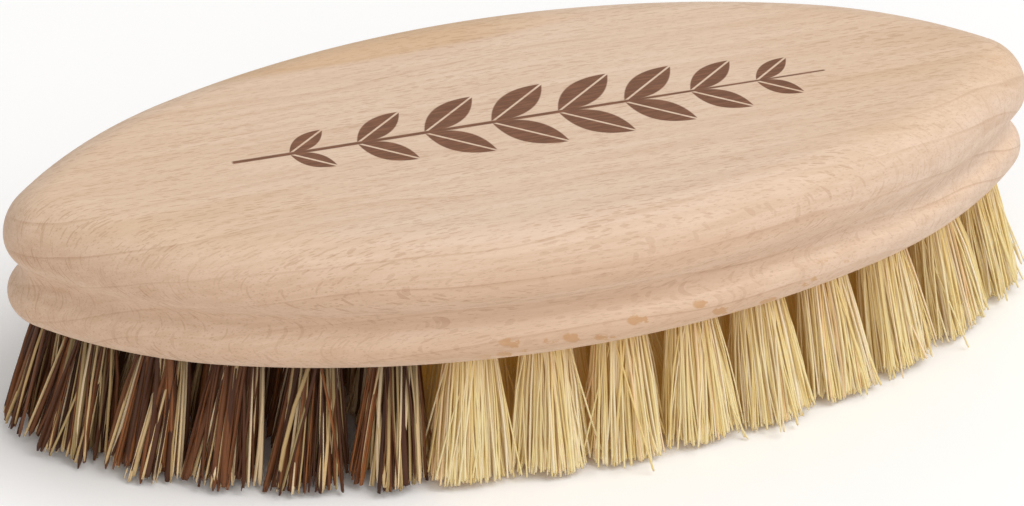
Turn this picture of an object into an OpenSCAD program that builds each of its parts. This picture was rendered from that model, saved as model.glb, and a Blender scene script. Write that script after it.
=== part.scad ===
// Oval brush for scrubbing vegetables: a moulded beech block, tufts of hard and
// soft bristle, and the flat wire anchors that hold each tuft in its hole.
// Sizes are in millimetres. X runs along the block and Z is up. The origin is on
// the surface that the tips of the bristles stand on, under the middle.

/* [Block outline] */
// Length of the block
block_l = 135; // [128:1:145]
// Width of the block
block_w = 55; // [52:0.5:60]
// Radius of the two ends
end_r = 7; // [7:0.25:9]
// Radius of the four shoulders between a side and an end
shoulder_r = 58.5; // [52:0.5:62]
// Angle that each half of a long side turns through before its shoulder
side_turn = 20.6; // [18:0.2:24]

/* [Block edge] */
// Thickness of the block
block_h = 17.5; // [16:0.5:24]
// Radius of the rounded upper edge
top_round = 6.5; // [5:0.25:6.5]
// Radius that the upper bead turns under with
upper_bead_r = 3.5; // [3:0.1:4]
// Radius of the groove round the block
groove_r = 3; // [2.6:0.1:3.4]
// Depth of the groove behind the widest line
groove_depth = 1.9; // [1.4:0.1:2.4]
// Radius of the lower bead
lower_bead_r = 2.9; // [2.5:0.1:3.3]
// Height of the middle of the lower bead over the flat underside
lower_bead_z = 2.3; // [1.6:0.1:2.8]
// Distance that the lower bead stands back from the widest line
lower_bead_back = 0.2; // [0:0.1:0.8]

/* [Tuft holes] */
// Diameter of a hole
hole_d = 6; // [5:0.25:6.5]
// Depth of a hole to the shoulder of its drilled point
hole_depth = 9; // [7:0.5:11]
// Height of the drilled point
hole_point = 1.2; // [0.6:0.1:1.8]
// Number of tufts in the outer ring
outer_count = 28; // [22:1:30]
// Distance of the outer ring from the edge of the block
outer_inset = 6; // [5.5:0.25:6.75]
// Share of a step by which the outer ring starts past the middle of the back
outer_start = 0.33; // [0:0.01:1]
// Number of tufts in the inner ring
inner_count = 20; // [12:1:20]
// Distance of the inner ring from the edge of the block
inner_inset = 15; // [14:0.5:16.5]
// Share of a step by which the inner ring starts past the middle of the back
inner_start = 0; // [0:0.05:1]
// Number of tufts in the middle row
middle_count = 8; // [4:1:8]
// Distance between the tufts of the middle row
middle_step = 9.2; // [8.6:0.1:9.8]
// Outward lean of a tuft at the very end of the block, in degrees
end_lean = 14; // [0:1:16]
// Outward lean of a tuft at the side of the block, in degrees
side_lean = 10; // [0:1:14]

/* [Bristles] */
// Free length of the bristles under the block
bristle_h = 19; // [14:0.5:26]
// Place along the block where the hard bristles end and the soft ones begin
hard_limit = -17.5; // [-40:0.5:40]
// Number of strands in a hard tuft
hard_strands = 8; // [4:1:8]
// Thickness of a hard strand across its corners
hard_strand_d = 1.35; // [0.8:0.05:1.5]
// Number of strands in a soft tuft
soft_strands = 9; // [4:1:9]
// Thickness of a soft strand across its corners
soft_strand_d = 1.15; // [0.8:0.05:1.3]
// Width of a tuft at its tips over its width at the hole
spread = 1.55; // [1.2:0.05:1.6]
// Height by which the tips of the strands differ
ragged = 2.4; // [0:0.2:4]
// Depth by which the longest tips are cut flat where the brush stands
trim = 0.5; // [0.3:0.1:1]
// Clearance between the packed root of a tuft and its hole
root_clearance = 0.05; // [0.02:0.01:0.1]

/* [Anchors] */
// Thickness of the flat anchor wire
anchor_t = 0.4; // [0.3:0.05:0.6]
// Height of the flat anchor wire
anchor_h = 2; // [1.5:0.1:2.5]
// Length by which each end of an anchor bites into the wood
anchor_bite = 0.6; // [0.3:0.1:0.8]
// Distance from the point of the hole's shoulder down to the top of the anchor
anchor_drop = 0.6; // [0.2:0.1:1.5]
// Turn of the anchors from the length of the block, in degrees
anchor_turn = 40; // [0:5:90]

/* [Hidden] */
$fn = 48;
// Steps along the arcs of a quarter of the oval
end_steps = 5;
shoulder_steps = 7;
side_steps = 6;
// Distance of the outermost strands from the wall of the root
strand_margin = 0.15;

// Points of the oval: each quarter has a side arc about side_c, a shoulder arc
// about shoulder_c and an end arc about end_c, each tangent to the next.
end_c = [block_l / 2 - end_r, 0];
side_fall = 1 - cos(side_turn);
side_rise = block_w / 2 - shoulder_r;
arc_a = pow(sin(side_turn), 2) + pow(side_fall, 2);
arc_b = end_c.x * sin(side_turn) + side_rise * side_fall;
arc_c = pow(end_c.x, 2) + pow(side_rise, 2) - pow(shoulder_r - end_r, 2);
side_r = shoulder_r + (arc_b - sqrt(pow(arc_b, 2) - arc_a * arc_c)) / arc_a;
side_c = [0, block_w / 2 - side_r];
shoulder_c = side_c + (side_r - shoulder_r) * [sin(side_turn), cos(side_turn)];
to_end = end_c - shoulder_c;
end_from = atan2(to_end.x, to_end.y);

// The moulded edge in section: x is the distance out from the widest line and y the
// height. The arcs of the two beads and of the groove end where their circles cross.
upper_bead_z = block_h - top_round;
groove_share = (lower_bead_r + groove_r) / (lower_bead_r + 2 * groove_r + upper_bead_r);
groove_z = lower_bead_z + groove_share * (upper_bead_z - lower_bead_z);
lower_c = [-lower_bead_back - lower_bead_r, lower_bead_z];
groove_c = [groove_r - groove_depth, groove_z];
upper_c = [-upper_bead_r, upper_bead_z];
top_c = [-top_round, upper_bead_z];
function bearing(v) = atan2(v.y, v.x);
// Angle at the middle of one circle from the line of centres to where the two cross
function cross_angle(c1, r1, c2, r2) =
    let(d = norm(c2 - c1))
    acos(min(1, (d * d + r1 * r1 - r2 * r2) / (2 * d * r1)));
function arc(c, r, a1, a2, n) =
    [for (i = [0:n]) c + r * [cos(a1 + (a2 - a1) * i / n), sin(a1 + (a2 - a1) * i / n)]];
lower_end = bearing(groove_c - lower_c) - cross_angle(lower_c, lower_bead_r, groove_c, groove_r);
groove_start = bearing(lower_c - groove_c) + 360 + cross_angle(groove_c, groove_r, lower_c, lower_bead_r);
groove_end = bearing(upper_c - groove_c) - cross_angle(groove_c, groove_r, upper_c, upper_bead_r);
upper_start = bearing(groove_c - upper_c) + cross_angle(upper_c, upper_bead_r, groove_c, groove_r);
section = concat(
    arc(lower_c, lower_bead_r, -asin(lower_bead_z / lower_bead_r), lower_end, 5),
    skip_first(arc(groove_c, groove_r, groove_start, groove_end, 5)),
    skip_first(arc(upper_c, upper_bead_r, upper_start, 0, 3)),
    skip_first(arc(top_c, top_round, 0, 90, 6))
);
function skip_first(list) = [for (i = [1:len(list) - 1]) list[i]];

// Points along a quarter of the oval, inset by d, from the side to the end. Where
// the inset is wider than the end's radius the shoulders meet in a point.
function polar(c, r, a) = c + r * [sin(a), cos(a)];
function last_turn(d) = d < end_r ? end_from : acos(-shoulder_c.y / (shoulder_r - d));
function side_len(d) = (side_r - d) * side_turn * PI / 180;
function shoulder_len(d) = (shoulder_r - d) * (last_turn(d) - side_turn) * PI / 180;
function end_len(d) = max(0, end_r - d) * (90 - end_from) * PI / 180;
function quarter_len(d) = side_len(d) + shoulder_len(d) + end_len(d);
function on_quarter(d, s) =
    s < side_len(d) ? polar(side_c, side_r - d, s / (side_r - d) * 180 / PI)
    : s < side_len(d) + shoulder_len(d) || d >= end_r
    ? polar(shoulder_c, shoulder_r - d, side_turn + (s - side_len(d)) / (shoulder_r - d) * 180 / PI)
    : polar(end_c, end_r - d, 90 - (quarter_len(d) - s) / (end_r - d) * 180 / PI);
// A point at the share t of the whole way round, clockwise from the middle of the back
function on_ring(d, t) =
    let(q = floor(t * 4) % 4, s = (t * 4 - floor(t * 4)) * quarter_len(d))
    let(p = on_quarter(d, q % 2 == 0 ? s : quarter_len(d) - s))
    [q < 2 ? p.x : -p.x, q == 0 || q == 3 ? p.y : -p.y];
function ring(count, inset, start) =
    [for (i = [0:count - 1]) on_ring(inset, ((i + start) / count) % 1)];
function row(count, step) = [for (i = [0:count - 1]) [(i - (count - 1) / 2) * step, 0]];

// Sites of the tufts, seen as points of the block's flat underside
sites = concat(
    ring(outer_count, outer_inset, outer_start),
    ring(inner_count, inner_inset, inner_start),
    row(middle_count, middle_step)
);
hard_sites = [for (s = sites) if (s.x < hard_limit) s];
soft_sites = [for (s = sites) if (s.x >= hard_limit) s];

// Axis of a tuft, pointing down and out, and two directions square to it
fan_x = tan(end_lean) / (block_l / 2 - outer_inset);
fan_y = tan(side_lean) / (block_w / 2 - outer_inset);
function unit(v) = v / norm(v);
function tuft_axis(site) = unit([fan_x * site.x, fan_y * site.y, -1]);
function tuft_x(a) = unit(cross([0, 1, 0], a));
function tuft_y(a) = cross(a, tuft_x(a));

// The holes, the roots and the anchors all lie along this upward line
anchor_l = hole_d + 2 * anchor_bite;
anchor_z = hole_depth - anchor_drop - anchor_h;
mouth_reach = hole_d / 2;
strand_root = hole_d / 2;

// Names of the nodes
function two_digits(n) = n < 10 ? str("0", n) : str(n);
function tuft_names(kind, list) = [for (i = [0:len(list) - 1]) str(kind, "_tuft_", two_digits(i + 1))];
hard_names = tuft_names("hard", hard_sites);
soft_names = tuft_names("soft", soft_sites);

// Points of the whole oval, inset by d, counter-clockwise from the right end
function turns(a1, a2, n) = [for (i = [0:n - 1]) a1 + (a2 - a1) * i / n];
function quarter(d) = concat(
    [for (a = turns(90, end_from, end_steps)) polar(end_c, end_r - d, a)],
    [for (a = turns(end_from, side_turn, shoulder_steps)) polar(shoulder_c, shoulder_r - d, a)],
    [for (a = turns(side_turn, 0, side_steps)) polar(side_c, side_r - d, a)]
);
function back_half(d) =
    let(q = quarter(d), n = len(q), back = polar(side_c, side_r - d, 0))
    concat(q, [back], [for (i = [n - 1:-1:1]) [-q[i].x, q[i].y]]);
function oval(d) = let(half = back_half(d)) concat(half, -half);

// The block before it is drilled: the oval lofted through the moulded section
module blank() {
    rings = [for (p = section) [for (q = oval(-p.x)) [q.x, q.y, p.y]]];
    n = len(rings[0]);
    m = len(rings);
    skin = [
        for (j = [0:m - 2], i = [0:n - 1])
            for (face = [
                [j * n + i, (j + 1) * n + i, (j + 1) * n + (i + 1) % n],
                [j * n + i, (j + 1) * n + (i + 1) % n, j * n + (i + 1) % n]
            ]) face
    ];
    underside = [for (i = [0:n - 1]) i];
    top = [for (i = [n - 1:-1:0]) (m - 1) * n + i];
    polyhedron(points = [for (r = rings) each r], faces = concat(skin, [underside, top]));
}

// Puts what is drawn along +Z into the hole of a site
module along_hole(site) {
    up = -tuft_axis(site);
    heading = atan2(up.y, up.x);
    translate([site.x, site.y, bristle_h])
        rotate([0, acos(up.z), heading])
            rotate([0, 0, anchor_turn - heading])
                children();
}

// The drilled hole, or with a clearance the packed root that fills it
module hole_shape(clearance) {
    r = hole_d / 2 - clearance;
    rotate_extrude()
        polygon([
            [0, -mouth_reach],
            [r, -mouth_reach],
            [r, hole_depth - clearance],
            [0, hole_depth + hole_point - clearance]
        ]);
}

// The flat wire, which lies across the hole with its ends in the wood
module anchor_wire() {
    translate([-anchor_l / 2, -anchor_t / 2, anchor_z])
        cube([anchor_l, anchor_t, anchor_h]);
}

module anchors(list) {
    color("silver")
        for (site = list)
            along_hole(site)
                anchor_wire();
}

module block() {
    color("burlywood")
        difference() {
            translate([0, 0, bristle_h])
                blank();
            for (site = sites)
                along_hole(site) {
                    hole_shape(0);
                    anchor_wire();
                }
        }
}

// One strand: a straight rod along its own line, from the root to its tip height
module strand(root, heading, tip_z, d) {
    h = norm(heading) * (root.z - tip_z) / -heading.z;
    translate(root)
        rotate([0, acos(heading.z / norm(heading)), atan2(heading.y, heading.x)])
            cylinder(h = h, d = d, $fn = 4);
}

// The strands open from the root like a fan, so no two of them cross
module strands(site, count, d, seed) {
    axis = tuft_axis(site);
    u = tuft_x(axis);
    v = tuft_y(axis);
    root_r = hole_d / 2 - root_clearance - d / 2 - strand_margin;
    chance = rands(0, 1, 2 * count, seed);
    mouth = [site.x, site.y, bristle_h];
    for (i = [0:count - 1]) {
        turn = 360 * (i + 0.3 * chance[i]) / (count - 1);
        r = i == count - 1 ? 0 : root_r;
        out = r * (cos(turn) * u + sin(turn) * v);
        heading = bristle_h * axis + (spread - 1) * out;
        tip_z = i == count - 1 ? -trim : ragged * chance[count + i] - trim;
        strand(mouth + out - strand_root / bristle_h * heading, heading, tip_z, d);
    }
}

// One tuft: its packed root, folded round the anchor, and its strands
module tuft(site, count, d, seed) {
    below = block_l + block_w;
    difference() {
        union() {
            difference() {
                along_hole(site)
                    hole_shape(root_clearance);
                translate([site.x - hole_d, site.y - hole_d, bristle_h - 2 * hole_d])
                    cube(2 * hole_d);
                along_hole(site)
                    anchor_wire();
            }
            strands(site, count, d, seed);
        }
        translate([-below / 2, -below / 2, -trim - 2 * hole_d])
            cube([below, below, trim + 2 * hole_d]);
    }
}

module hard_tuft(i) {
    color("saddlebrown")
        tuft(hard_sites[i], hard_strands, hard_strand_d, i + 1);
}

module soft_tuft(i) {
    color("khaki")
        tuft(soft_sites[i], soft_strands, soft_strand_d, i + 101);
}

block();
anchors(hard_sites);  // hard_anchors
anchors(soft_sites);  // soft_anchors
for (i = [0:len(hard_sites) - 1])
    hard_tuft(i);
for (i = [0:len(soft_sites) - 1])
    soft_tuft(i);
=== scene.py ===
"""Looks of an oval brush for scrubbing vegetables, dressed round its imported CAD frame.

The block is lofted again on a fine grid, from the tangent arcs and the moulded
section of the frame, and gets its beech. Every tuft of the frame becomes a
bundle of single fibres. A floor, soft lamps and the camera complete the scene.
Lengths are in metres in the frame's own axes, and in millimetres in a finish.
"""

import logging
import math
from dataclasses import dataclass
from enum import Enum
from typing import Any, Sequence

import bmesh
import bpy
import numpy as np
from mathutils import Matrix, Vector
from mathutils.geometry import delaunay_2d_cdt


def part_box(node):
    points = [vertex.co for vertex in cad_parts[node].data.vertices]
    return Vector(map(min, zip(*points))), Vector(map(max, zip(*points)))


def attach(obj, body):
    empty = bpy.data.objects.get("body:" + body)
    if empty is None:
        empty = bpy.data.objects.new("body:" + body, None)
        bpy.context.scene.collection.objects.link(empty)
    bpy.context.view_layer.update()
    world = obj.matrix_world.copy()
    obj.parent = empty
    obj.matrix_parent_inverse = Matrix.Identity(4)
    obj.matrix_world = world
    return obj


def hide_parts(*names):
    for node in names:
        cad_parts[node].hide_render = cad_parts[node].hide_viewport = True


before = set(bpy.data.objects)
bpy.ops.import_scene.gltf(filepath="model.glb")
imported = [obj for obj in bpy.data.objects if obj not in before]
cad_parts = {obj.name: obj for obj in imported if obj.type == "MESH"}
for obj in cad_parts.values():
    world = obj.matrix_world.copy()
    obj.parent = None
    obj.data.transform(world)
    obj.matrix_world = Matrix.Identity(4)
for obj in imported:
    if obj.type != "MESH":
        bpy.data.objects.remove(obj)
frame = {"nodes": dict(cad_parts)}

Array = np.ndarray
Colour = tuple[float, float, float]
Span = tuple[float, float]
MM = 0.001
BODY = "root"
IMAGE_SIZE = (1024, 506)
INSIDE_WITH_HOLES = 2
SAME_POINT = 1e-5
log = logging.getLogger("brush")


def srgb(red: int, green: int, blue: int) -> Colour:
    """The linear colour of an sRGB one, by the curve of its standard.

    Args:
        red: red share, from 0 to 255.
        green: green share.
        blue: blue share.

    Returns:
        The three linear shares, from 0 to 1.
    """
    shares = np.array([red, green, blue]) / 255.0
    low = shares / 12.92
    high = ((shares + 0.055) / 1.055) ** 2.4
    return tuple(float(v) for v in np.where(shares <= 0.04045, low, high))


class Wire:
    """An output socket of a shader tree. Python's operators on it add Math nodes."""

    def __init__(self, shader: "Shader", socket: Any) -> None:
        """Keeps the shader and the socket."""
        self.shader = shader
        self.socket = socket

    def math(self, operation: str, *others: Any) -> "Wire":
        """Adds a Math node for an operation on this value and the others."""
        values = dict(enumerate((self, *others)))
        return self.shader.add("ShaderNodeMath", {"operation": operation}, values)

    def after(self, operation: str, first: Any) -> "Wire":
        """Adds a Math node for an operation on first and this value, in that order."""
        return self.shader.add("ShaderNodeMath", {"operation": operation}, {0: first, 1: self})

    def __add__(self, other: Any) -> "Wire":
        """This plus other."""
        return self.math("ADD", other)

    def __radd__(self, other: Any) -> "Wire":
        """Other plus this."""
        return self.math("ADD", other)

    def __sub__(self, other: Any) -> "Wire":
        """This minus other."""
        return self.math("SUBTRACT", other)

    def __rsub__(self, other: Any) -> "Wire":
        """Other minus this."""
        return self.after("SUBTRACT", other)

    def __mul__(self, other: Any) -> "Wire":
        """This times other."""
        return self.math("MULTIPLY", other)

    def __rmul__(self, other: Any) -> "Wire":
        """Other times this."""
        return self.math("MULTIPLY", other)

    def __truediv__(self, other: Any) -> "Wire":
        """This over other."""
        return self.math("DIVIDE", other)

    def __rtruediv__(self, other: Any) -> "Wire":
        """Other over this."""
        return self.after("DIVIDE", other)

    def __pow__(self, other: Any) -> "Wire":
        """This to the power other."""
        return self.math("POWER", other)

    def __rpow__(self, other: Any) -> "Wire":
        """Other to the power this."""
        return self.after("POWER", other)

    def __abs__(self) -> "Wire":
        """This without its sign."""
        return self.math("ABSOLUTE")

    def above(self, least: float) -> "Wire":
        """This share, squeezed from between 0 and 1 to between least and 1."""
        return self * (1.0 - least) + least

    def fade(self, start: float, end: float) -> "Wire":
        """A smooth step of this value, 0 at start and 1 at end.

        Args:
            start: the value where the step is 0.
            end: the value where the step is 1, which may be the lower one.

        Returns:
            The step, from 0 to 1.
        """
        values = {"Value": self, "From Min": min(start, end), "From Max": max(start, end)}
        if start > end:
            values |= {"To Min": 1.0, "To Max": 0.0}
        return self.shader.add("ShaderNodeMapRange", {"interpolation_type": "SMOOTHSTEP"}, values)


@dataclass(frozen=True)
class Grain:
    """Noise drawn out unevenly: its waves in a unit along three directions, times its
    scale. Detail is its octaves and rough the strength of the finer ones. Where it has
    a span, it is a smooth step from 0 at the span's first value to 1 at its second."""

    waves: tuple[float, float, float]
    detail: float = 2.0
    rough: float = 0.5
    scale: float = 1.0
    span: Span | None = None


class Shader:
    """A material under construction, round its Principled shader."""

    def __init__(self, name: str, **constants: Any) -> None:
        """Makes the material.

        Args:
            name: the material's name.
            constants: values of the Principled shader's sockets, with _ for a blank.
        """
        self.material = bpy.data.materials.new(name)
        self.material.use_nodes = True
        self.tree = self.material.node_tree
        self.surface = self.tree.nodes["Principled BSDF"]
        for socket, value in constants.items():
            self.surface.inputs[socket.replace("_", " ")].default_value = value

    def add(
        self, kind: str, settings: dict[str, Any], values: dict[Any, Any], output: Any = 0
    ) -> Wire:
        """Adds a node: its type, its settings, then its sockets.

        Args:
            kind: the node's type.
            settings: the node's own settings, or a ramp's stops under "stops".
            values: a value or a wire for each socket, by its name or place.
            output: the name or place of the output that is wanted.

        Returns:
            That output.
        """
        node = self.tree.nodes.new(kind)
        for key, value in settings.items():
            if key == "stops":
                self._stops(node.color_ramp, value)
            else:
                setattr(node, key, value)
        by_name = {s.identifier: s for s in node.inputs}
        by_name |= {s.name: s for s in node.inputs if s.enabled}
        for key, value in values.items():
            socket = node.inputs[key] if isinstance(key, int) else by_name[key]
            if isinstance(value, Wire):
                self.tree.links.new(value.socket, socket)
            elif isinstance(value, tuple) and socket.type == "RGBA":
                socket.default_value = (*value, 1.0)
            else:
                socket.default_value = value
        if isinstance(output, int):
            return Wire(self, node.outputs[output])
        enabled = [s for s in node.outputs if s.enabled and s.name == output]
        return Wire(self, enabled[0])

    @staticmethod
    def _stops(ramp: Any, stops: Sequence[tuple[float, Colour]]) -> None:
        """Sets the stops of a colour ramp.

        Args:
            ramp: the ramp.
            stops: a place and a colour for each stop.
        """
        while len(ramp.elements) > 1:
            ramp.elements.remove(ramp.elements[-1])
        ramp.elements[0].position = stops[0][0]
        ramp.elements[0].color = (*stops[0][1], 1.0)
        for place, colour in stops[1:]:
            ramp.elements.new(place).color = (*colour, 1.0)

    def mix(self, first: Any, second: Any, share: Any, blend: str = "MIX") -> Wire:
        """A mix of two colours.

        Args:
            first: the colour where share is 0.
            second: the colour where share is 1.
            share: the share of the second one.
            blend: how the second one is laid on the first.

        Returns:
            The mixed colour.
        """
        settings = {"data_type": "RGBA", "blend_type": blend, "clamp_factor": True}
        values = {"Factor_Float": share, "A_Color": first, "B_Color": second}
        return self.add("ShaderNodeMix", settings, values, "Result")

    def place(self) -> Wire:
        """The point on the surface, in millimetres of the frame."""
        point = self.add("ShaderNodeTexCoord", {}, {}, "Object")
        return self.add("ShaderNodeVectorMath", {"operation": "SCALE"}, {0: point, "Scale": 1 / MM})

    def parts(self, vector: Wire) -> tuple[Wire, ...]:
        """The three parts of a vector."""
        split = self.add("ShaderNodeSeparateXYZ", {}, {0: vector}).socket.node
        return tuple(Wire(self, part) for part in split.outputs)

    def join(self, x: Any, y: Any, z: Any) -> Wire:
        """A vector of three values."""
        return self.add("ShaderNodeCombineXYZ", {}, {0: x, 1: y, 2: z})

    def noise(self, kind: Grain, *place: Any) -> Wire:
        """Smooth noise from about 0.25 to 0.75, or a step of it.

        Args:
            kind: the noise.
            place: where it is read, along its three directions.

        Returns:
            The noise's value.
        """
        values = {"Scale": kind.scale, "Detail": kind.detail, "Roughness": kind.rough}
        values["Vector"] = self.join(*(part * waves for part, waves in zip(place, kind.waves)))
        value = self.add("ShaderNodeTexNoise", {}, values)
        return value.fade(*kind.span) if kind.span else value

    def scatter(self, x: Wire, y: Wire, z: Wire) -> Wire:
        """The distance to the nearest of many points, scattered one in a unit cube."""
        values = {"Vector": self.join(x, y, z), "Scale": 1.0}
        return self.add("ShaderNodeTexVoronoi", {}, values, "Distance")

    def attribute(self, name: str) -> Wire:
        """A value that the mesh holds at each point."""
        return self.add("ShaderNodeAttribute", {"attribute_name": name}, {}, "Fac")

    def feed(self, socket: str, value: Wire) -> None:
        """Leads a wire to a socket of the Principled shader."""
        self.tree.links.new(value.socket, self.surface.inputs[socket])

    def rough(self, value: Wire, middle: float, width: float) -> None:
        """Leads a value from 0 to 1 to Roughness, which it moves by width round middle."""
        self.feed("Roughness", value * width + (middle - width / 2))

    def bump(self, height: Wire, depth: float, strength: float = 0.4) -> None:
        """Leads a height from 0 to 1 to the normal. Depth is how high 1 is, in metres."""
        values = {"Height": height, "Distance": depth, "Strength": strength}
        self.feed("Normal", self.add("ShaderNodeBump", {}, values))


@dataclass(frozen=True)
class Spot:
    """A point of the wood, in millimetres: its place in the frame, its distance from the
    pith and its way round it. Square is 1 where the surface faces the pith."""

    x: Wire
    y: Wire
    z: Wire
    radius: Wire
    turn: Wire
    square: Wire


@dataclass(frozen=True)
class RayLayer:
    """Rays of one size: long along the grain, thin round the pith and tall away from it.
    A ray fades in from its rim to its core, which are shares of that size."""

    long: float
    thin: float
    tall: float
    rim: float
    core: float
    strength: float


@dataclass(frozen=True)
class Rays:
    """Flat dark rays, in layers from few and large to many and small."""

    layers: tuple[RayLayer, ...] = (
        RayLayer(long=3.4, thin=0.60, tall=12.0, rim=0.21, core=0.16, strength=0.55),
        RayLayer(long=5.6, thin=0.38, tall=7.0, rim=0.21, core=0.17, strength=0.75),
        RayLayer(long=3.2, thin=0.25, tall=5.0, rim=0.24, core=0.19, strength=0.65),
        RayLayer(long=3.0, thin=0.30, tall=0.5, rim=0.27, core=0.21, strength=0.60),
    )
    wave: Grain = Grain((0.05, 0.1, 0.05), detail=1.0)
    patch: Grain = Grain((0.05, 0.12, 0.1), detail=1.0, span=(0.3, 0.6))
    faintest: float = 0.5

    def mask(self, s: Shader, at: Spot) -> Wire:
        """Where the rays are: lenses round scattered points, fainter in patches.

        Args:
            s: the shader.
            at: the point.

        Returns:
            Their strength, from 0 to 1.
        """
        turn = at.turn + s.noise(self.wave, at.x, at.turn, at.radius)
        total: Any = 0.0
        for layer in self.layers:
            near = s.scatter(at.x / layer.long, turn / layer.thin, at.radius / layer.tall)
            lens = near.fade(layer.rim, layer.core) * layer.strength
            total = lens.math("MAXIMUM", total)
        patch = s.noise(self.patch, at.x, at.turn, at.radius).above(self.faintest)
        return total * patch * at.square.above(self.faintest)


@dataclass(frozen=True)
class Flecks:
    """A few reddish flecks in the lower bead: thick rays cut nearly along their sides."""

    length: float = 4.2
    depth: float = 12.0
    tall: float = 2.5
    height: float = 20.7
    lean: float = 0.7
    ragged: float = 0.5
    edge: Grain = Grain((0.9, 0.9, 1.6), detail=3.0, rough=0.6)
    rim: Span = (0.56, 0.48)
    left: Span = (-16.0, -8.0)
    right: Span = (42.0, 34.0)
    top: Span = (23.6, 22.6)

    def mask(self, s: Shader, at: Spot) -> Wire:
        """Where the flecks are: ragged blobs round scattered points.

        Args:
            s: the shader.
            at: the point.

        Returns:
            Their strength, from 0 to 1.
        """
        ragged = s.noise(self.edge, at.x, at.y, at.z) * self.ragged
        along = (at.x + at.z * self.lean) / self.length + ragged
        near = s.scatter(along, at.y / self.depth, (at.z - self.height) / self.tall)
        window = at.x.fade(*self.left) * at.x.fade(*self.right) * at.z.fade(*self.top)
        return (near + ragged).fade(*self.rim) * window


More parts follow.
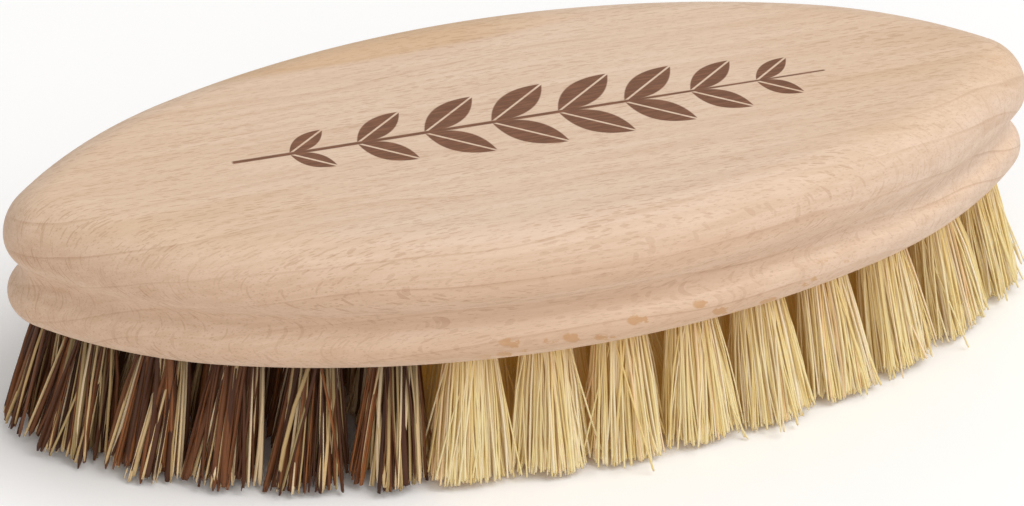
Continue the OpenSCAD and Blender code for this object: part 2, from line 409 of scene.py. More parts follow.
@dataclass(frozen=True)
class BeechFinish:
    """Sanded beech. The growth rings lie round a pith far below and in front of the
    block, and the rays stand out from it. The flanks carry painted shade, darker and
    warmer on the left than on the right. Lengths are in millimetres."""

    pale: Colour = srgb(226, 200, 177)
    tan: Colour = srgb(213, 184, 158)
    warm: Colour = srgb(207, 170, 128)
    line: Colour = srgb(178, 138, 108)
    ray: Colour = srgb(170, 128, 97)
    fleck: Colour = srgb(200, 156, 108)
    burn: Colour = srgb(104, 62, 38)
    scorch: Colour = srgb(131, 84, 57)
    # painted shade on the flanks: darker and warmer on the left, paler towards the right
    painted_side_shade: Colour = (0.875, 0.805, 0.755)
    painted_right_flank_shade: Colour = (0.885, 0.885, 0.905)
    right_shade_span: Span = (10.0, 60.0)
    end_tint: Colour = (0.985, 0.965, 0.925)
    end_reach: Span = (15.0, 55.0)
    roughness: float = 0.6
    roughness_range: float = 0.1
    gloss: float = 0.3
    relief: float = 0.05 * MM
    pith_y: float = -60.0
    pith_z: float = -70.0
    pith_slope: float = 0.02
    sway_across: float = 5.0
    sway_up: float = 4.0
    across_wave: Grain = Grain((0.012, 0.05, 0.05))
    up_wave: Grain = Grain((0.012, 0.05, 0.05), detail=1.0, scale=1.7)
    turn_radius: float = 118.0
    ring_step: float = 4.4
    ring_wander: float = 1.2
    ring_wave: Grain = Grain((0.02, 0.25, 0.06))
    ring_in: Span = (0.87, 0.975)
    ring_out: Span = (1.0, 0.975)
    ring_patch: Grain = Grain((0.03, 0.1, 0.05), detail=1.0, span=(0.35, 0.6))
    ring_least: float = 0.12
    ring_more: float = 0.24
    ring_loss: float = 0.7
    ring_tan: float = 0.2
    streak: Grain = Grain((0.025, 1.1, 0.8), detail=4.0, rough=0.6, span=(0.28, 0.74))
    broad: Grain = Grain((0.01, 0.09, 0.07), span=(0.5, 0.8))
    broad_warm: float = 0.3
    band_rise: Span = (132.7, 133.6)
    band_left: Span = (22.0, -6.0)
    band_warm: float = 0.64
    pore: Grain = Grain((0.9, 6.0, 6.0), detail=3.0, rough=0.7)
    soft_pore: Span = (0.50, 0.70)
    dark_pore: Span = (0.59, 0.68)
    soft_pores: float = 0.2
    dark_pores: float = 0.24
    rays: Rays = Rays()
    ray_strength: float = 0.55
    left_flank: Span = (15.0, -25.0)
    left_rays: float = 0.18
    flecks: Flecks = Flecks()
    fleck_strength: float = 0.7
    burn_grain: Grain = Grain((0.3, 3.0, 1.0), detail=3.0, span=(0.4, 0.75))
    burn_strength: float = 0.95

    def build(self, motif: "Sprig") -> bpy.types.Material:
        """Makes the material.

        Args:
            motif: the sprig that is burnt into the flat top.

        Returns:
            The finished material.
        """
        s = Shader("beech", Roughness=self.roughness, Specular_IOR_Level=self.gloss)
        facing = s.parts(s.add("ShaderNodeNewGeometry", {}, {}, "Normal"))
        at = self._spot(s, facing)
        level = facing[2] * facing[2]
        rays = self.rays.mask(s, at)
        pores = s.noise(self.pore, at.x, at.y, at.z)
        soft = pores.fade(*self.soft_pore) * self.soft_pores
        dark = pores.fade(*self.dark_pore) * self.dark_pores
        colour = s.mix(self._rings(s, at), self.line, soft + dark)
        flank = at.x.fade(*self.left_flank) * (1.0 - level) * self.left_rays
        colour = s.mix(colour, self.ray, rays * (flank + self.ray_strength))
        colour = s.mix(colour, self.fleck, self.flecks.mask(s, at) * self.fleck_strength)
        ends = abs(at.x).fade(*self.end_reach) * level
        colour = s.mix(colour, self.end_tint, ends, "MULTIPLY")
        # painted shade: the flanks are darker and warmer than the top, less so towards the right
        # end, where the light falls
        tint = s.mix(self.painted_side_shade, self.painted_right_flank_shade, at.x.fade(*self.right_shade_span))
        colour = s.mix(colour, tint, (1.0 - level) ** 2.0, "MULTIPLY")
        brown = s.mix(self.burn, self.scorch, s.noise(self.burn_grain, at.x, at.y, 0.0))
        s.feed("Base Color", s.mix(colour, brown, motif.mask(at) * self.burn_strength))
        s.rough(rays + pores, self.roughness, self.roughness_range)
        s.bump(pores * 0.5 - rays * 0.5, self.relief)
        return s.material

    def _spot(self, s: Shader, facing: Sequence[Wire]) -> Spot:
        """The point on the surface, placed round a pith that slopes and sways a little.

        Args:
            s: the shader.
            facing: the parts of the surface's normal.

        Returns:
            The point.
        """
        x, y, z = s.parts(s.place())
        sway = (s.noise(self.across_wave, x, y, z) - 0.5) * self.sway_across
        across = y - self.pith_y + sway
        sway = (s.noise(self.up_wave, x, y, z) - 0.5) * self.sway_up
        up = z - self.pith_z - x * self.pith_slope + sway
        radius = (across * across + up * up) ** 0.5
        turn = across.math("ARCTAN2", up) * self.turn_radius
        square = abs((facing[1] * across + facing[2] * up) / radius)
        return Spot(x, y, z, radius, turn, square)

    def _rings(self, s: Shader, at: Spot) -> Wire:
        """The growth rings, the streaks along the grain and a warm band by the back edge.

        Each ring is a saw-tooth of the distance from the pith: it darkens slowly
        towards its outer edge and ends in a thin line. Streaks are noise drawn out
        along x.

        Args:
            s: the shader.
            at: the point.

        Returns:
            The colour of the wood.
        """
        wave, patch, streak, broad = (
            s.noise(kind, at.x, at.radius, at.turn)
            for kind in (self.ring_wave, self.ring_patch, self.streak, self.broad)
        )
        phase = (at.radius / self.ring_step + wave * self.ring_wander).math("FRACT")
        edge = phase.fade(*self.ring_in) * phase.fade(*self.ring_out)
        tan = streak * (1.0 - self.ring_tan) + phase * self.ring_tan
        band = (at.radius + wave).fade(*self.band_rise) * at.x.fade(*self.band_left)
        warm = (broad * self.broad_warm).math("MAXIMUM", band * self.band_warm)
        colour = s.mix(s.mix(self.pale, self.tan, tan), self.warm, warm)
        seen = 1.0 - at.square * at.square * self.ring_loss
        return s.mix(colour, self.line, edge * (patch * self.ring_more + self.ring_least) * seen)


@dataclass(frozen=True)
class Sprig:
    """A plain sprig of paired leaves along a straight stem, sized in millimetres."""

    start: float = -35.0
    leaves: int = 8
    step: float = 8.8
    leaf_length: float = 10.8
    leaf_width: float = 2.3
    lean: float = math.radians(38.0)
    midrib: Span = (0.08, 0.2)
    taper: float = 0.5
    stem_width: float = 0.6
    stem_ahead: float = 3.2
    stem_behind: float = 5.0
    stem_fade: float = 0.4
    edge: float = 0.12
    cut: float = 0.02
    top: Span = (36.3, 36.4)

    def mask(self, at: Spot) -> Wire:
        """Where the sprig is.

        A leaf pair repeats at each step of the stem. A leaf is the space between two
        parabolas, and its size falls off from the middle of the sprig to its ends.

        Args:
            at: the point.

        Returns:
            1 inside the sprig and 0 outside.
        """
        x, side = at.x, abs(at.y)
        cosine, sine = math.cos(self.lean), math.sin(self.lean)
        span = self.step * self.leaves
        middle = self.start + span / 2.0
        first, last = self.start - self.stem_ahead, self.start + span + self.stem_behind
        width = self.stem_width * (1.0 - x.fade(middle, last) * self.taper)
        total = (side - width / 2.0).fade(self.edge, -self.edge)
        total = total * x.fade(first, first + self.stem_fade) * x.fade(last, last - self.stem_fade)
        for shift in (0.0, 1.0):
            cell = ((x - self.start) / self.step - shift).math("FLOOR") + 0.5
            centre = cell * self.step + self.start
            far = (centre - middle) / (span / 2.0)
            grow = 1.0 - far * far * self.taper
            ahead = x - centre
            along = (ahead * cosine + side * sine) / (grow * self.leaf_length)
            off = abs(side * cosine - ahead * sine)
            body = along * (1.0 - along) * 4.0 * self.leaf_width - off / grow
            inside = cell.fade(-self.cut, self.cut) * (cell - self.leaves).fade(self.cut, -self.cut)
            leaf = body.fade(-self.edge, self.edge) * inside * off.fade(*self.midrib)
            total = total.math("MAXIMUM", leaf)
        return total * at.z.fade(*self.top)


@dataclass(frozen=True)
class FibreFinish:
    """Plant fibre. Its mesh holds a tone for each fibre, how far along it a point is,
    and its place on the fibre in millimetres. Fibres paler than plain_from have
    fewer specks. Towards the roots the colour is painted shade. Light that has passed
    through fibre is painted on as a faint emission."""

    name: str
    stops: tuple[tuple[float, Colour], ...]
    # painted shade near the roots: its colour and its strength
    shade: Colour
    painted_root_shade: float
    speck: Colour
    specks: float
    streaks: float
    plain_from: float
    gloss: float
    # painted light: a faint emission colour in place of light that passes through the fibres
    painted_glow: Colour
    roughness: float = 0.5
    roughness_range: float = 0.3
    root_reach: Span = (0.6, 0.05)
    plain_edge: float = 0.02
    plain_specks: float = 0.2
    mottle: Grain = Grain((3.0, 3.0, 0.6), detail=3.0, rough=0.6, span=(0.5, 0.68))
    fine: Grain = Grain((4.5, 4.5, 0.12))
    fine_edge: Span = (0.5, 0.62)
    relief: float = 0.03 * MM

    def build(self) -> bpy.types.Material:
        """Makes the material.

        Returns:
            The finished material.
        """
        # the emission is painted light: a faint warm self-lit colour in place of light that passes
        # through the fibres
        s = Shader(
            self.name,
            Specular_IOR_Level=self.gloss,
            Emission_Color=(*self.painted_glow, 1.0),
            Emission_Strength=1.0,
        )
        tone = s.attribute("tone")
        colour = s.add("ShaderNodeValToRGB", {"stops": self.stops}, {0: tone})
        place = s.parts(s.add("ShaderNodeAttribute", {"attribute_name": "strand"}, {}, "Vector"))
        # painted shade: the fibres darken towards their roots, under the block and between the
        # tufts
        root = s.attribute("along").fade(*self.root_reach)
        colour = s.mix(colour, self.shade, root * self.painted_root_shade)
        plain = tone.fade(self.plain_from, self.plain_from - self.plain_edge)
        plain = plain.above(self.plain_specks)
        colour = s.mix(colour, self.speck, s.noise(self.mottle, *place) * plain * self.specks)
        fine = s.noise(self.fine, *place)
        colour = s.mix(colour, self.speck, fine.fade(*self.fine_edge) * plain * self.streaks)
        s.feed("Base Color", colour)
        s.rough(fine, self.roughness, self.roughness_range)
        s.bump(fine, self.relief)
        return s.material


@dataclass(frozen=True)
class WireFinish:
    """Drawn steel wire."""

    bright: Colour = (0.55, 0.56, 0.57)
    dark: Colour = (0.38, 0.38, 0.39)
    roughness: float = 0.4
    roughness_range: float = 0.3
    drawn: Grain = Grain((0.5, 0.5, 14.0), detail=3.0)

    def build(self) -> bpy.types.Material:
        """Makes the material, with streaks along the wire.

        Returns:
            The finished material.
        """
        s = Shader("anchor_wire", Metallic=1.0)
        streak = s.noise(self.drawn, *s.parts(s.place()))
        s.feed("Base Color", s.mix(self.bright, self.dark, streak))
        s.rough(streak, self.roughness, self.roughness_range)
        return s.material


@dataclass(frozen=True)
class FloorFinish:
    """A pale matt floor."""

    pale: Colour = (0.98, 0.98, 0.98)
    paler: Colour = (0.99, 0.99, 0.988)
    roughness: float = 0.85
    gloss: float = 0.1
    mottle: Grain = Grain((0.004, 0.004, 0.004))

    def build(self) -> bpy.types.Material:
        """Makes the material, with a very faint mottle.

        Returns:
            The finished material.
        """
        s = Shader("floor_paint", Roughness=self.roughness, Specular_IOR_Level=self.gloss)
        mottle = s.noise(self.mottle, *s.parts(s.place()))
        s.feed("Base Color", s.mix(self.pale, self.paler, mottle))
        return s.material


def new_object(
    name: str, points: Array, faces: Array | list, material: bpy.types.Material
) -> bpy.types.Object:
    """Puts a mesh into the scene, smooth, at the origin.

    Args:
        name: the piece's name.
        points: its points, one a row.
        faces: its faces, as rows of places in points.
        material: its material.

    Returns:
        The new object.
    """
    mesh = bpy.data.meshes.new(name)
    mesh.from_pydata(points.tolist(), [], faces if isinstance(faces, list) else faces.tolist())
    mesh.materials.append(material)
    mesh.polygons.foreach_set("use_smooth", np.ones(len(mesh.polygons), dtype=bool))
    obj = bpy.data.objects.new(name, mesh)
    bpy.context.scene.collection.objects.link(obj)
    return obj


def grid_faces(rows: int, columns: int, closed: bool) -> Array:
    """Quads of a grid whose points are numbered row by row.

    Args:
        rows: its rows.
        columns: its points in a row.
        closed: whether the last column joins the first.

    Returns:
        The quads, with their points in order round each.
    """
    last = columns if closed else columns - 1
    row, column = np.meshgrid(np.arange(rows - 1), np.arange(last), indexing="ij")
    here, above = row * columns, (row + 1) * columns
    after = (column + 1) % columns
    corners = (here + column, here + after, above + after, above + column)
    return np.stack(corners, axis=-1).reshape(-1, 4)


def step_count(way: float, longest: float) -> int:
    """How many steps of at most one length go along a way, and three at least."""
    return max(3, math.ceil(way / longest))


@dataclass(frozen=True)
class Oval:
    """Plan of the block: in each quarter a side arc, a shoulder arc and an end arc,
    each tangent to the next. Headings turn clockwise from +y."""

    length: float
    width: float
    end_radius: float = 7.0 * MM
    shoulder_radius: float = 58.5 * MM
    side_turn: float = math.radians(20.6)

    def arcs(self) -> list[tuple[Array, float, float, float]]:
        """The three arcs of a quarter.

        The side's radius follows from the others: its arc has to be tangent to the
        shoulder's, whose middle lies the difference of their radii from the end's.

        Returns:
            The middle, the radius, and the first and last heading of each.
        """
        end = np.array([self.length / 2 - self.end_radius, 0.0])
        fall = 1 - math.cos(self.side_turn)
        rise = self.width / 2 - self.shoulder_radius
        a = math.sin(self.side_turn) ** 2 + fall**2
        b = end[0] * math.sin(self.side_turn) + rise * fall
        c = end[0] ** 2 + rise**2 - (self.shoulder_radius - self.end_radius) ** 2
        reach = (b - math.sqrt(b * b - a * c)) / a
        side_radius = self.shoulder_radius + reach
        side = np.array([0.0, self.width / 2 - side_radius])
        shoulder = side + reach * np.array([math.sin(self.side_turn), math.cos(self.side_turn)])
        heading = math.atan2(*(end - shoulder))
        return [
            (side, side_radius, 0.0, self.side_turn),
            (shoulder, self.shoulder_radius, self.side_turn, heading),
            (end, self.end_radius, heading, math.pi / 2),
        ]

    def rim(self, spacing: float, finest: float) -> tuple[Array, Array]:
        """Points round the oval, counter-clockwise from its right end.

        Args:
            spacing: the distance between points.
            finest: the widest turn between points, in radians.

        Returns:
            The points and the outward directions there.
        """
        points, outward = [], []
        for middle, radius, first, last in self.arcs():
            turn = last - first
            steps = max(step_count(turn * radius, spacing), step_count(turn, finest))
            heading = np.linspace(first, last, steps + 1)[1:]
            way = np.stack([np.sin(heading), np.cos(heading)], axis=-1)
            points.append(middle + radius * way)
            outward.append(way)
        top = np.array([[0.0, self.width / 2]]), np.array([[0.0, 1.0]])
        quarter = [np.concatenate(part)[::-1] for part in (points, outward)]
        rings = []
        for part, middle in zip(quarter, top):
            back = np.concatenate([part, middle, part[::-1] * [-1, 1]])
            rings.append(np.concatenate([back, -back[1:-1]]))
        return rings[0], rings[1]


@dataclass(frozen=True)
class EdgeSection:
    """Moulded edge of the block: x out from its widest line and z over its underside."""

    height: float
    top_round: float = 6.5 * MM
    upper_bead: float = 3.5 * MM
    groove: float = 3.0 * MM
    groove_depth: float = 1.9 * MM
    lower_bead: float = 2.9 * MM
    lower_height: float = 2.3 * MM
    lower_back: float = 0.2 * MM

    def points(self, step: float) -> Array:
        """The section from the underside to the flat top, as arcs of four circles.

        The beads and the groove end where their circles cross.

        Args:
            step: the widest turn between points, in radians.

        Returns:
            The points, each x and z.
        """
        bead_z = self.height - self.top_round
        reach = self.lower_bead + self.groove
        share = reach / (reach + self.groove + self.upper_bead)
        groove_z = self.lower_height + share * (bead_z - self.lower_height)
        lower = np.array([-self.lower_back - self.lower_bead, self.lower_height])
        groove = np.array([self.groove - self.groove_depth, groove_z])
        upper = np.array([-self.upper_bead, bead_z])
        top = np.array([-self.top_round, bead_z])
        foot = -math.asin(self.lower_height / self.lower_bead)
        low_end = self._meet(lower, self.lower_bead, groove, self.groove, -1)
        start = self._meet(groove, self.groove, lower, self.lower_bead, 1) + math.tau
        end = self._meet(groove, self.groove, upper, self.upper_bead, -1)
        high = self._meet(upper, self.upper_bead, groove, self.groove, 1)
        return np.concatenate([
            self._arc(lower, self.lower_bead, foot, low_end, step),
            self._arc(groove, self.groove, start, end, step)[1:],
            self._arc(upper, self.upper_bead, high, 0.0, step)[1:],
            self._arc(top, self.top_round, 0.0, math.pi / 2, step)[1:],
        ])

    @staticmethod
    def _meet(first: Array, r1: float, second: Array, r2: float, side: int) -> float:
        """Angle at a circle's middle towards one of its crossings with another circle.

        It is the bearing of the other's middle, and to one side of it the angle that
        the law of cosines gives for the triangle of both middles and the crossing.

        Args:
            first: the circle's middle.
            r1: its radius.
            second: the other's middle.
            r2: the other's radius.
            side: 1 for the crossing to the left of the bearing, -1 for the right one.

        Returns:
            The angle, in radians.
        """
        way = second - first
        d = float(np.linalg.norm(way))
        part = math.acos(min(1.0, (d * d + r1 * r1 - r2 * r2) / (2 * d * r1)))
        return math.atan2(way[1], way[0]) + side * part

    @staticmethod
    def _arc(middle: Array, radius: float, first: float, last: float, step: float) -> Array:
        """Points of an arc: middle plus radius times the cosine and sine of the angle."""
        angle = np.linspace(first, last, step_count(abs(last - first), step) + 1)
        return middle + radius * np.stack([np.cos(angle), np.sin(angle)], axis=-1)


@dataclass(frozen=True)
class Hole:
    """A blind hole in the underside: its mouth's middle and its axis out of the wood."""

    mouth: Array
    axis: Array
    radius: float = 3.0 * MM
    depth: float = 9.0 * MM
    point: float = 1.2 * MM

    def square(self) -> tuple[Array, Array]:
        """Directions square to the axis.

        Returns:
            Two of them, square to each other.
        """
        u = np.cross([0.0, 1.0, 0.0], self.axis)
        u /= np.linalg.norm(u)
        return u, np.cross(self.axis, u)

    def rings(self, sides: int) -> Array:
        """Three rings: the mouth, the foot of the wall and the drill's point.

        A ring's point is the axis at that depth plus the radius along a direction
        square to it. The mouth's points slide along the axis onto the underside.

        Args:
            sides: the points of a ring.

        Returns:
            The points, by ring.
        """
        u, v = self.square()
        turn = np.arange(sides) / sides * math.tau
        ring = self.radius * (np.cos(turn)[:, None] * u + np.sin(turn)[:, None] * v)
        mouth = self.mouth + ring - (ring[:, 2] / self.axis[2])[:, None] * self.axis
        foot = self.mouth + ring - self.depth * self.axis
        point = self.mouth - (self.depth + self.point) * self.axis
        return np.stack([mouth, foot, np.broadcast_to(point, ring.shape)])


@dataclass
class Block:
    """The beech block, lofted round the oval through the moulded section and drilled."""

    low_z: float
    high_z: float
    oval: Oval
    holes: list[Hole]
    finish: BeechFinish = BeechFinish()
    sprig: Sprig = Sprig()
    spacing: float = 0.8 * MM
    turn: float = math.radians(2.5)
    crease: float = math.radians(4.5)
    seam: float = 0.002 * MM
    rings: int = 12
    hole_sides: int = 32

    def build(self) -> bpy.types.Object:
        """Builds and dresses the block.

        A point of the skin is a point of the rim plus the section's x along the
        outward direction, at the section's z. Rings that shrink to a point close the
        top, and triangles round the holes the underside.

        Returns:
            The block.
        """
        rim, outward = self.oval.rim(self.spacing, self.turn)
        section = EdgeSection(self.high_z - self.low_z).points(self.turn)
        flat = rim[None] + section[:, :1, None] * outward[None]
        height = np.broadcast_to(section[:, 1:, None] + self.low_z, (*flat.shape[:2], 1))
        skin = np.concatenate([flat, height], axis=-1)
        walls = [hole.rings(self.hole_sides) for hole in self.holes]
        sheets = [
            (skin.reshape(-1, 3), grid_faces(*skin.shape[:2], True)),
            self._top(skin[-1]),
            self._underside(skin[0], [wall[0] for wall in walls]),
        ]
        sheets += [(wall.reshape(-1, 3), grid_faces(3, self.hole_sides, True)) for wall in walls]
        first = np.cumsum([0] + [len(points) for points, _ in sheets])
        faces = sum(((quads + start).tolist() for (_, quads), start in zip(sheets, first)), [])
        points = np.concatenate([points for points, _ in sheets])
        obj = new_object("block_beech", points, faces, self.finish.build(self.sprig))
        self._close(obj.data)
        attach(obj, BODY)
        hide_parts("block")
        return obj

    def _top(self, ring: Array) -> tuple[Array, Array]:
        """The flat top: rings of its edge's shape that shrink evenly to the middle.

        Args:
            ring: its edge, counter-clockwise from the right end.

        Returns:
            Its points and its quads.
        """
        middle = ring.mean(axis=0)
        share = np.linspace(1.0, 0.0, self.rings + 1)[:, None, None]
        points = middle + share * (ring - middle)
        return points.reshape(-1, 3), grid_faces(self.rings + 1, len(ring), True)

    @staticmethod
    def _underside(edge: Array, mouths: list[Array]) -> tuple[Array, Array]:
        """The flat underside: triangles between the lower edge and the mouths.

        Args:
            edge: the block's lower edge.
            mouths: the edges of the holes.

        Returns:
            Its points and its triangles.
        """
        loops = [edge, *mouths]
        ends = np.cumsum([0] + [len(loop) for loop in loops])
        rings = [list(range(first, last)) for first, last in zip(ends, ends[1:])]
        flat = np.concatenate(loops)[:, :2] / MM
        made = delaunay_2d_cdt(
            [Vector(point) for point in flat], [], rings, INSIDE_WITH_HOLES, SAME_POINT
        )
        points = np.array([tuple(point) for point in made[0]]) * MM
        height = np.full((len(points), 1), edge[0, 2])
        return np.concatenate([points, height], axis=1), np.array(made[2])

    def _close(self, mesh: bpy.types.Mesh) -> None:
        """Merges the seams, turns the faces outwards and marks the creases.

        Args:
            mesh: the block's mesh.
        """
        work = bmesh.new()
        work.from_mesh(mesh)
        bmesh.ops.remove_doubles(work, verts=work.verts, dist=self.seam)
        bmesh.ops.recalc_face_normals(work, faces=work.faces)
        work.to_mesh(mesh)
        work.free()
        mesh.set_sharp_from_angle(angle=self.crease)


class Fibre(Enum):
    """The two kinds of bristle."""

    HARD = "hard"
    SOFT = "soft"


@dataclass(frozen=True)
class FibreKind:
    """Sizes of one kind of fibre in a tuft. Fibres paler than fine_from stay thin, and
    few tips lie farther than reach from the tuft's axis, or overhang past the block."""

    count: int
    thin: float
    thick: float
    flatness: float
    sides: int
    spread: float
    stray: float
    bend: float
    ragged: float
    point: float
    pointed: float
    fine_from: float
    clump: float
    reach: float
    twist: float
    overhang: float


KINDS = {
    Fibre.HARD: FibreKind(
        count=185, thin=0.34 * MM, thick=1.2 * MM, flatness=0.42, sides=6, spread=1.7, stray=0.034,
        bend=0.16 * MM, ragged=2.4 * MM, point=1.0 * MM, pointed=0.8, fine_from=0.60, clump=0.04,
        reach=5.2 * MM, twist=0.22, overhang=0.7 * MM,
    ),
    Fibre.SOFT: FibreKind(
        count=370, thin=0.26 * MM, thick=0.42 * MM, flatness=0.85, sides=4, spread=1.8, stray=0.03,
        bend=0.18 * MM, ragged=1.9 * MM, point=0.4 * MM, pointed=0.4, fine_from=1.0, clump=0.022,
        reach=5.1 * MM, twist=0.2, overhang=0.2 * MM,
    ),
}


@dataclass
class Tuft:
    """One tuft: a bundle of fibres that leave their hole side by side and fan out. A
    tip is cut partly by its clump's share and partly by its own, and the share of the
    fibres that is loose strays further than the rest."""

    node: str
    kind: Fibre
    hole: Hole
    rim: Array
    outward: Array
    seed: int
    sunk: float = 7.0 * MM
    levels: tuple[float, ...] = (0.0, 0.1, 0.4, 0.72)
    clumps: int = 8
    clump_cut: float = 0.4
    own_cut: float = 0.8
    cut_shape: tuple[float, float] = (1.2, 2.4)
    splay: float = 0.16
    splay_run: float = 0.06
    golden: float = math.pi * (3 - math.sqrt(5))
    golden_miss: float = 0.12
    packing: float = 0.4
    packing_miss: float = 0.06
    tails: float = 4.0
    thick_rare: float = 1.4
    fine_share: float = 0.4
    hold: float = 0.8
    loose: float = 0.08
    loose_stray: float = 2.2
    loose_turn: float = 0.8
    loose_room: float = 1.4
    loose_hold: float = 0.5
    strand_length: float = 20.0
    strand_start: float = 200.0

    @property
    def rings(self) -> int:
        """Rings of a fibre: one at its root, those at the levels, and two at its tip."""
        return len(self.levels) + 3

    def build(self, material: bpy.types.Material) -> bpy.types.Object:
        """Builds the tuft in place of its CAD node.

        Args:
            material: the fibre's material.

        Returns:
            The tuft's mesh object.
        """
        size = KINDS[self.kind]
        rng = np.random.default_rng(self.seed)
        tone = rng.random(size.count)
        rough = rng.random(size.count) ** self.thick_rare
        rough *= np.where(tone > size.fine_from, self.fine_share, 1.0)
        width = size.thin + (size.thick - size.thin) * rough
        lines = self._lines(size, width, rng)
        points, faces = self._tubes(lines, size, width, rng)
        obj = new_object(f"{self.node}_fibres", points, faces, material)
        length = np.linspace(0.0, 1.0, self.rings - 1)
        along = np.tile(np.repeat(np.concatenate([[0.0], length]), size.sides), size.count)
        tones = np.repeat(tone, self.rings * size.sides)
        for name, values in (("tone", tones), ("along", along)):
            held = obj.data.attributes.new(name, "FLOAT", "POINT")
            held.data.foreach_set("value", values.astype(np.float32))
        held = obj.data.attributes.new("strand", "FLOAT_VECTOR", "POINT")
        held.data.foreach_set("vector", self._strand(size, width, rng).astype(np.float32).ravel())
        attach(obj, BODY)
        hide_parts(self.node)
        return obj

    def _strand(self, size: FibreKind, width: Array, rng: np.random.Generator) -> Array:
        """Each point's place on its own fibre, in millimetres.

        Half the width times the cosine and sine of the turn round the fibre, then the
        length along it. Each fibre's places start at a random distance.

        Args:
            size: the kind of fibre.
            width: the fibres' widths.
            rng: the source of chance.

        Returns:
            The places, three numbers a point.
        """
        turn = np.arange(size.sides) / size.sides * math.tau
        half = width[:, None, None] / 2 / MM
        place = np.zeros((size.count, self.rings, size.sides, 3))
        place[..., 0] = half * np.cos(turn)
        place[..., 1] = half * np.sin(turn)
        place[..., 2] = np.linspace(0.0, self.strand_length, self.rings)[:, None]
        return place + rng.random((size.count, 1, 1, 3)) * self.strand_start

    def _chance(self, size: FibreKind, rng: np.random.Generator) -> Array:
        """Two numbers a fibre from a t distribution, whose long tails are cut."""
        return np.clip(rng.standard_t(self.tails, (size.count, 2)), -self.tails, self.tails)

    def _lines(self, size: FibreKind, width: Array, rng: np.random.Generator) -> Array:
        """Middle lines of the fibres.

        The roots fill the hole in a sunflower pattern: the n-th lies at the root of
        its share of the area, turned by the golden angle. Each line runs down the
        tuft's axis and moves out to its root's place times the spread, twisted a
        little round the axis, with a quick exponential splay at the mouth. It leans
        with its sector's clump and a little by itself, bows by a parabola, and stops
        at its own height over the floor. A tip beyond the reach is pulled in. Loose
        fibres stray further.

        Args:
            size: the kind of fibre.
            width: the fibres' widths.
            rng: the source of chance.

        Returns:
            The points, by fibre and by ring.
        """
        count = size.count
        u, v = self.hole.square()
        order = (np.arange(count) + 0.5) / count
        angle = np.arange(count) * self.golden + rng.normal(0, self.golden_miss, count)
        out = (self.hole.radius - width / 2) * order**self.packing
        out = (out * (1 - self.packing_miss * rng.random(count)))[:, None]
        side = np.cos(angle)[:, None] * u + np.sin(angle)[:, None] * v
        free = self.hole.mouth[2] / -self.hole.axis[2]
        sector = (angle % math.tau * self.clumps / math.tau).astype(int)
        clump = rng.normal(0, size.clump, (self.clumps + 1, 2))[sector]
        loose = rng.random(count) < self.loose
        stray = size.stray * np.where(loose, self.loose_stray, 1.0)[:, None]
        drift = clump + stray * self._chance(size, rng)
        bend = size.bend * self._chance(size, rng)
        tip = self.own_cut * rng.beta(*self.cut_shape, count)
        tip = size.ragged * (tip + self.clump_cut * rng.random(self.clumps + 1)[sector])
        turned = angle + size.twist * rng.normal(0, 1, count)
        turned += np.where(loose, rng.normal(0, self.loose_turn, count), 0.0)
        fan = size.spread * (np.cos(turned)[:, None] * u + np.sin(turned)[:, None] * v) - side
        fan *= out
        lean = free * (drift[:, :1] * u + drift[:, 1:] * v)
        far = np.linalg.norm(out * side + fan + lean, axis=1)
        room = size.reach * np.where(loose, self.loose_room, 1.0)
        pull = np.minimum(1.0, room / far)[:, None]
        fan, lean = fan * pull, lean * pull
        way = free * self.hole.axis + lean
        root = self.hole.mouth + out * side
        held = self._held((root + way + fan)[:, :2], size)
        way[:, :2] += held * np.where(loose, self.loose_hold, 1.0)[:, None]
        bow = bend[:, :1] * u + bend[:, 1:] * v
        run = np.array([*self.levels, 1.0 - size.point / free, 1.0])
        cut = ((self.hole.mouth[2] - tip) / -(way + fan)[:, 2])[:, None]
        sunk = np.full((count, 1), -self.sunk / free)
        share = np.concatenate([sunk, cut * run], axis=1)[..., None]
        quick = self.splay * (1.0 - np.exp(-np.maximum(share, 0.0) / self.splay_run))
        lines = root[:, None] + share * way[:, None]
        lines += ((1.0 - self.splay) * share + quick) * fan[:, None]
        lines[:, 1:] += (4.0 * run * (1.0 - run))[None, :, None] * bow[:, None]
        return lines

    def _held(self, tips: Array, size: FibreKind) -> Array:
        """What pulls tips back that stand too far outside the block.

        It is the outward direction at the nearest point of the block's rim, times the
        tip's distance past that point less the overhang, times the hold.

        Args:
            tips: the tips, as x and y.
            size: the kind of fibre.

        Returns:
            The shifts, as x and y.
        """
        gap = tips[:, None] - self.rim[None]
        nearest = np.linalg.norm(gap, axis=2).argmin(axis=1)
        outward = self.outward[nearest]
        past = (gap[np.arange(len(tips)), nearest] * outward).sum(axis=1) - size.overhang
        return -self.hold * np.maximum(past, 0.0)[:, None] * outward

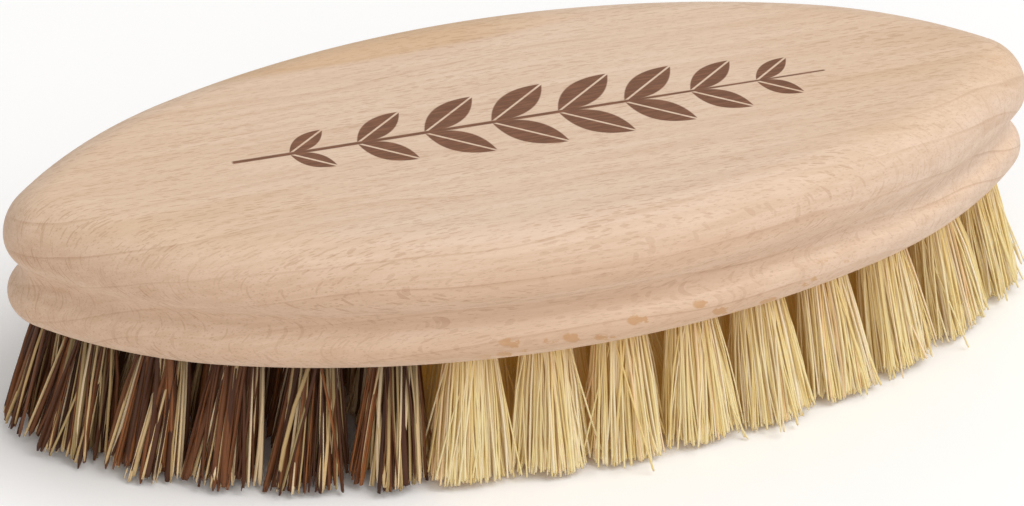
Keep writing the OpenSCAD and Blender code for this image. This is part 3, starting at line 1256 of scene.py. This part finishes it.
    def _tubes(
        self, lines: Array, size: FibreKind, width: Array, rng: np.random.Generator
    ) -> tuple[Array, list]:
        """Flattened tubes of a few sides round the middle lines.

        A point of a tube is its line's point plus half the width along one of the
        directions square to the tuft's axis, flattened across a direction of the
        fibre's own. The last ring is narrower, as a cut or broken tip.

        Args:
            lines: the middle lines.
            size: the kind of fibre.
            width: the fibres' widths.
            rng: the source of chance.

        Returns:
            The points and the faces.
        """
        u, v = self.hole.square()
        turn = rng.random(size.count)[:, None] * math.tau
        corner = np.arange(size.sides) / size.sides * math.tau
        wide, flat = np.cos(corner), size.flatness * np.sin(corner)
        on_u = wide * np.cos(turn) - flat * np.sin(turn)
        on_v = wide * np.sin(turn) + flat * np.cos(turn)
        ways = on_u[..., None] * u + on_v[..., None] * v
        girth = np.ones((size.count, self.rings))
        girth[:, -1] = 1.0 - size.pointed * rng.random(size.count)
        girth *= width[:, None] / 2
        points = lines[:, :, None] + girth[..., None, None] * ways[:, None]
        points[..., 2] = np.maximum(points[..., 2], 0.0)
        each = self.rings * size.sides
        first = np.arange(size.count) * each
        walls = grid_faces(self.rings, size.sides, True)[None] + first[:, None, None]
        faces = walls.reshape(-1, 4).tolist()
        ring = np.arange(size.sides)
        for end in (ring[::-1], ring + each - size.sides):
            faces += (end[None] + first[:, None]).tolist()
        return points.reshape(-1, 3), faces


@dataclass
class BristleField:
    """All the tufts of the brush, found from the frame's nodes."""

    nodes: dict[str, bpy.types.Object]
    mouth_z: float
    hard: FibreFinish = FibreFinish(
        name="hard_bristle",
        stops=(
            (0.0, srgb(60, 34, 19)),
            (0.25, srgb(86, 51, 30)),
            (0.42, srgb(120, 72, 38)),
            (0.52, srgb(155, 95, 50)),
            (0.58, srgb(112, 71, 38)),
            (0.61, srgb(158, 138, 94)),
            (0.70, srgb(203, 172, 120)),
            (0.86, srgb(229, 202, 156)),
            (1.0, srgb(238, 214, 178)),
        ),
        shade=srgb(50, 29, 16),
        painted_root_shade=0.6,
        speck=srgb(70, 36, 20),
        specks=0.45,
        streaks=0.75,
        plain_from=0.60,
        gloss=0.25,
        painted_glow=(0.005, 0.002, 0.001),
    )
    soft: FibreFinish = FibreFinish(
        name="soft_bristle",
        stops=(
            (0.0, srgb(226, 205, 146)),
            (0.3, srgb(230, 215, 162)),
            (0.7, srgb(232, 219, 178)),
            (0.93, srgb(233, 222, 196)),
            (1.0, srgb(232, 198, 154)),
        ),
        shade=srgb(206, 154, 84),
        painted_root_shade=0.4,
        speck=srgb(224, 184, 116),
        specks=0.2,
        streaks=0.15,
        plain_from=1.1,
        gloss=0.1,
        painted_glow=(0.048, 0.024, 0.005),
    )
    flat_within: float = 0.01 * MM
    rim_spacing: float = 1.0 * MM
    rim_turn: float = math.radians(6.0)
    first_seed: int = 7

    def holes(self) -> dict[str, Hole]:
        """The hole of each tuft.

        The mouth is the middle of the box of the node's points at the underside, and
        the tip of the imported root, its highest point, lies on the axis.

        Returns:
            The holes by the names of their tufts.
        """
        found = {}
        for name in sorted(n for n in self.nodes if "_tuft_" in n):
            mesh = self.nodes[name].data
            flat = np.zeros(len(mesh.vertices) * 3)
            mesh.vertices.foreach_get("co", flat)
            points = flat.reshape(-1, 3)
            rim = points[np.abs(points[:, 2] - self.mouth_z) < self.flat_within]
            mouth = (rim.min(0) + rim.max(0)) / 2
            axis = mouth - points[points[:, 2].argmax()]
            found[name] = Hole(mouth, axis / np.linalg.norm(axis))
        return found

    def build(self, holes: dict[str, Hole], oval: Oval) -> list[bpy.types.Object]:
        """Builds every tuft.

        Args:
            holes: the holes by the names of their tufts.
            oval: the plan of the block.

        Returns:
            The tufts' objects.
        """
        materials = {Fibre.HARD: self.hard.build(), Fibre.SOFT: self.soft.build()}
        rim, outward = oval.rim(self.rim_spacing, self.rim_turn)
        tufts = []
        for seed, (name, hole) in enumerate(holes.items(), self.first_seed):
            kind = Fibre(name.split("_")[0])
            tufts.append(Tuft(name, kind, hole, rim, outward, seed).build(materials[kind]))
        return tufts


@dataclass(frozen=True)
class Lamp:
    """A square soft lamp that looks at the object."""

    name: str
    place: tuple[float, float, float]
    size: float
    power: float
    colour: Colour = (1.0, 1.0, 1.0)


@dataclass(frozen=True)
class Studio:
    """The floor, the lamps and the camera."""

    azimuth: float = -16.23
    elevation: float = 36.05
    roll: float = 0.53
    distance: float = 0.8
    focal_pixels: float = 6255.2
    aim: tuple[float, float, float] = (-0.00263, -0.00441, 0.01879)
    sensor: float = 36.0
    clip: Span = (0.01, 20.0)
    floor_size: float = 6.0
    floor_points: int = 9
    floor_drop: float = 0.2 * MM
    sky: float = 0.5
    lamps: tuple[Lamp, ...] = (
        Lamp("key", place=(0.84, -0.63, 1.82), size=1.4, power=21.8),
        Lamp("side", place=(1.91, -0.57, 0.67), size=1.2, power=8.3, colour=(0.92, 0.97, 1.0)),
        Lamp("fill", place=(-0.75, -1.55, 1.1), size=1.6, power=7.2, colour=(1.0, 0.91, 0.81)),
        Lamp("back", place=(0.4, 1.8, 1.2), size=1.4, power=3.0),
    )

    def build(self) -> None:
        """Sets the floor, the lamps and the camera."""
        self._floor()
        self._sky()
        for lamp in self.lamps:
            self._lamp(lamp)
        self._camera()

    def _floor(self) -> None:
        """A wide flat grid just under the bristle tips."""
        half = self.floor_size / 2
        line = np.linspace(-half, half, self.floor_points)
        x, y = np.meshgrid(line, line)
        points = np.stack([x, y, np.full_like(x, -self.floor_drop)], axis=-1).reshape(-1, 3)
        quads = grid_faces(self.floor_points, self.floor_points, False)
        floor = new_object("floor", points, quads, FloorFinish().build())

    def _sky(self) -> None:
        """An even white sky, shown without a film look."""
        scene = bpy.context.scene
        scene.view_settings.view_transform = "Standard"
        scene.world = bpy.data.worlds.new("studio")
        scene.world.use_nodes = True
        sky = scene.world.node_tree.nodes["Background"]
        sky.inputs["Color"].default_value = (1.0, 1.0, 1.0, 1.0)
        sky.inputs["Strength"].default_value = self.sky

    def _lamp(self, lamp: Lamp) -> None:
        """Hangs a lamp.

        Args:
            lamp: the lamp.
        """
        data = bpy.data.lights.new(lamp.name, "AREA")
        data.size = lamp.size
        data.energy = lamp.power
        data.color = lamp.colour
        hung = bpy.data.objects.new(lamp.name, data)
        hung.location = lamp.place
        way = Vector(self.aim) - Vector(lamp.place)
        hung.rotation_euler = way.to_track_quat("-Z", "Y").to_euler()
        bpy.context.scene.collection.objects.link(hung)

    def _camera(self) -> None:
        """The camera, at the photograph's angle. Azimuth 0 looks along +y."""
        a, e, r = (math.radians(v) for v in (self.azimuth, self.elevation, self.roll))
        back = Vector((math.sin(a) * math.cos(e), -math.cos(a) * math.cos(e), math.sin(e)))
        right = Vector((math.cos(a), math.sin(a), 0.0))
        up = back.cross(right)
        turned = right * math.cos(r) + up * math.sin(r)
        upright = up * math.cos(r) - right * math.sin(r)
        data = bpy.data.cameras.new("camera")
        data.sensor_width = self.sensor
        data.lens = self.focal_pixels * self.sensor / IMAGE_SIZE[0]
        data.clip_start, data.clip_end = self.clip
        camera = bpy.data.objects.new("camera", data)
        turn = Matrix((turned, upright, back)).transposed()
        eye = Vector(self.aim) + back * self.distance
        camera.matrix_world = Matrix.Translation(eye) @ turn.to_4x4()
        bpy.context.scene.collection.objects.link(camera)
        bpy.context.scene.camera = camera


def main() -> None:
    """Builds the brush and its studio."""
    logging.basicConfig(level=logging.INFO, format="%(message)s")
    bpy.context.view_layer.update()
    low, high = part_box("block")
    bristles = BristleField(frame["nodes"], low.z)
    holes = bristles.holes()
    oval = Oval(high.x - low.x, high.y - low.y)
    block = Block(low.z, high.z, oval, list(holes.values())).build()
    log.info("%s: %d faces", block.name, len(block.data.polygons))
    for tuft in bristles.build(holes, oval):
        log.info("%s: %d faces", tuft.name, len(tuft.data.polygons))
    wire = WireFinish().build()
    for name in ("hard_anchors", "soft_anchors"):
        for held in frame["nodes"][name].material_slots:
            held.material = wire
        log.info("%s: wire finish", name)
    Studio().build()


if __name__ == "__main__":
    main()
